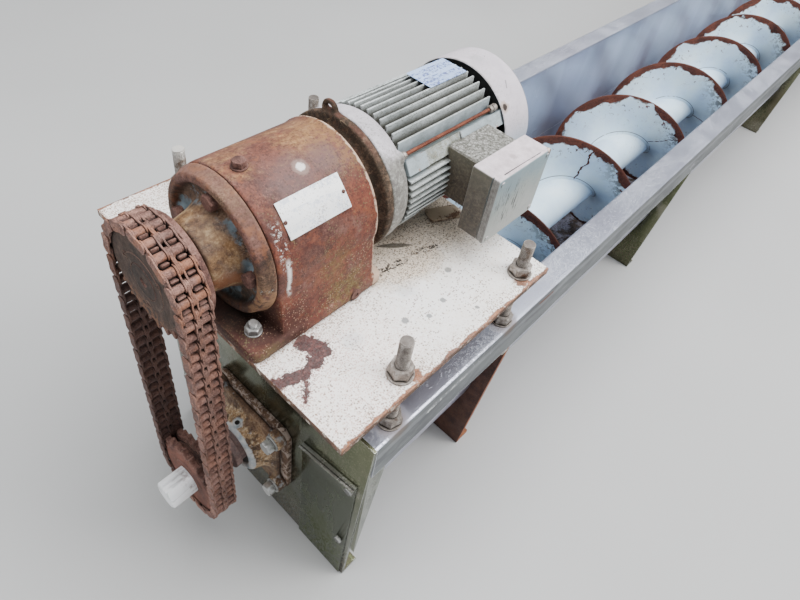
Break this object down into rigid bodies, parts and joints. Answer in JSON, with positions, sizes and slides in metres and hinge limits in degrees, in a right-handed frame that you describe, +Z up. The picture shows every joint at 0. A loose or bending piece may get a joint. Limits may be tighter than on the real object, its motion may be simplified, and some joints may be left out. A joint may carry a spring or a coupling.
{
  "type": "grape auger",
  "caption": "Open U-trough screw conveyor for grapes on sheet supports, with a geared motor on an adjustable plate and a duplex chain drive down to the screw shaft.",
  "frame": {"origin": "middle of the underside of the drive end plate's foot, on the ground and on the trough's centre plane", "axes": "+X along the trough away from the drive, +Y to the side opposite the terminal box, +Z up"},
  "size_m": [4.011, 0.538, 0.8513],
  "materials": {
    "stainless": "satin sheet with stains",
    "dull_stainless": "dull weathered sheet",
    "rusty_steel": "orange-brown rust",
    "worn_paint": "pale blue paint with rust",
    "bright_steel": "bright turned steel",
    "white_paint": "white paint with a rusty rim",
    "rusty_chain": "dry brown rust",
    "cream_paint": "speckled cream paint",
    "grey_steel": "corroded grey",
    "rusty_casting": "red-brown rust",
    "plate_white": "blank plate",
    "lilac_grey": "faded paint",
    "motor_grey": "dirty cast aluminium",
    "gland_plastic": "matte"
  },
  "bodies": {
    "frame": {"near_side_and_rim": "stainless", "far_side_and_rim": "stainless", "trough_floor": "stainless", "drive_end_plate": "dull_stainless", "far_end_plate": "dull_stainless", "near_corner_stiffener": "dull_stainless", "far_corner_stiffener": "dull_stainless", "steel_support": "rusty_steel", "support_rib_1": "dull_stainless", "support_rib_2": "dull_stainless", "drive_bearing_plate": "rusty_steel", "drive_flange_bearing": "worn_paint", "far_bearing_plate": "rusty_steel", "far_flange_bearing": "worn_paint", "drive_chain": "rusty_chain", "motor_plate": "cream_paint", "stud_near_front": "grey_steel", "stud_near_rear": "grey_steel", "stud_far_front": "grey_steel", "stud_far_rear": "grey_steel", "gearbox_casing": "rusty_casting", "gearbox_front_cover": "rusty_casting", "gearbox_data_plate": "plate_white", "gearbox_top_plug": "rusty_casting", "motor_adapter": "rusty_casting", "motor_end_bell": "lilac_grey", "motor_frame": "motor_grey", "fan_cowl": "lilac_grey", "motor_data_plate": "plate_white", "near_tie_rod": "rusty_steel", "far_tie_rod": "rusty_steel", "terminal_box": "motor_grey", "terminal_box_lid": "lilac_grey", "cable_gland": "gland_plastic"},
    "screw": {"screw_drive_shaft": "bright_steel", "screw_far_shaft": "bright_steel", "screw_tube": "white_paint", "flight_section_1": "white_paint", "flight_section_2": "white_paint", "flight_section_3": "white_paint", "flight_section_4": "white_paint", "flight_section_5": "white_paint", "lower_sprocket": "rusty_chain"},
    "gearbox_output": {"gearbox_output_shaft": "rusty_chain", "upper_sprocket": "rusty_chain"}
  },
  "joints": [
    {"name": "screw_spin", "type": "hinge", "parent": "frame", "child": "screw", "pos_m": [0, 0, 0.238], "axis": [1, 0, 0], "continuous": true},
    {"name": "gearbox_output_spin", "type": "hinge", "parent": "frame", "child": "gearbox_output", "pos_m": [-0.1448, 0, 0.7333], "axis": [1, 0, 0], "continuous": true}
  ],
  "couplings": [
    {"joint": "gearbox_output_spin", "follows": "screw_spin", "ratio": 1}
  ]
}
